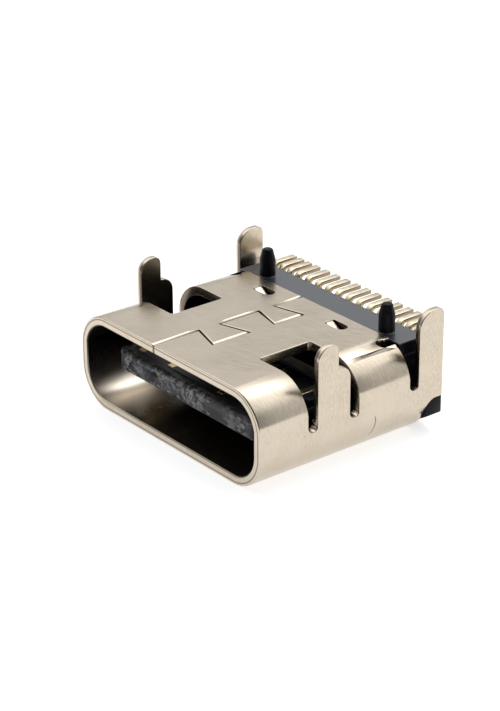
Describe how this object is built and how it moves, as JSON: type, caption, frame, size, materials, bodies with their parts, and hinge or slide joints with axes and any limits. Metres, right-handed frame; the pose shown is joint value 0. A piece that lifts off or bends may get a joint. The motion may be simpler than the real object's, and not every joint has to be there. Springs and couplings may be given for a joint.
{
  "type": "usb-c socket",
  "caption": "Reversible board-mounted data and power socket: folded metal shell with solder legs around a moulded tongue that carries flat contacts and solder feet.",
  "frame": {"origin": "on the flat rest face of the shell, under the middle of the overall box", "axes": "+X across the mouth, -Y out of the mouth, +Z from the rest face to the board side, where the legs, pegs and solder feet are"},
  "size_m": [0.009, 0.008, 0.0042],
  "materials": {
    "shell_steel": "nickel-plated stainless sheet, satin, with sheared edges",
    "housing_plastic": "moulded black liquid-crystal polymer, fine matt grain",
    "carrier_plastic": "moulded dark liquid-crystal polymer, slightly glossier than the housing",
    "plate_steel": "bare stainless strip",
    "contact_gold": "copper-alloy strip with pale gold and tin plating"
  },
  "bodies": {
    "root": {"shell": "shell_steel", "housing": "housing_plastic", "carrier_a": "carrier_plastic", "carrier_b": "carrier_plastic", "mid_plate": "plate_steel", "ground_plate_a": "plate_steel", "ground_plate_b": "plate_steel", "contact_a1": "contact_gold", "contact_a4": "contact_gold", "contact_a5": "contact_gold", "contact_a6": "contact_gold", "contact_a7": "contact_gold", "contact_a8": "contact_gold", "contact_a9": "contact_gold", "contact_a12": "contact_gold", "contact_b1": "contact_gold", "contact_b4": "contact_gold", "contact_b5": "contact_gold", "contact_b6": "contact_gold", "contact_b7": "contact_gold", "contact_b8": "contact_gold", "contact_b9": "contact_gold", "contact_b12": "contact_gold"}
  },
  "joints": []
}
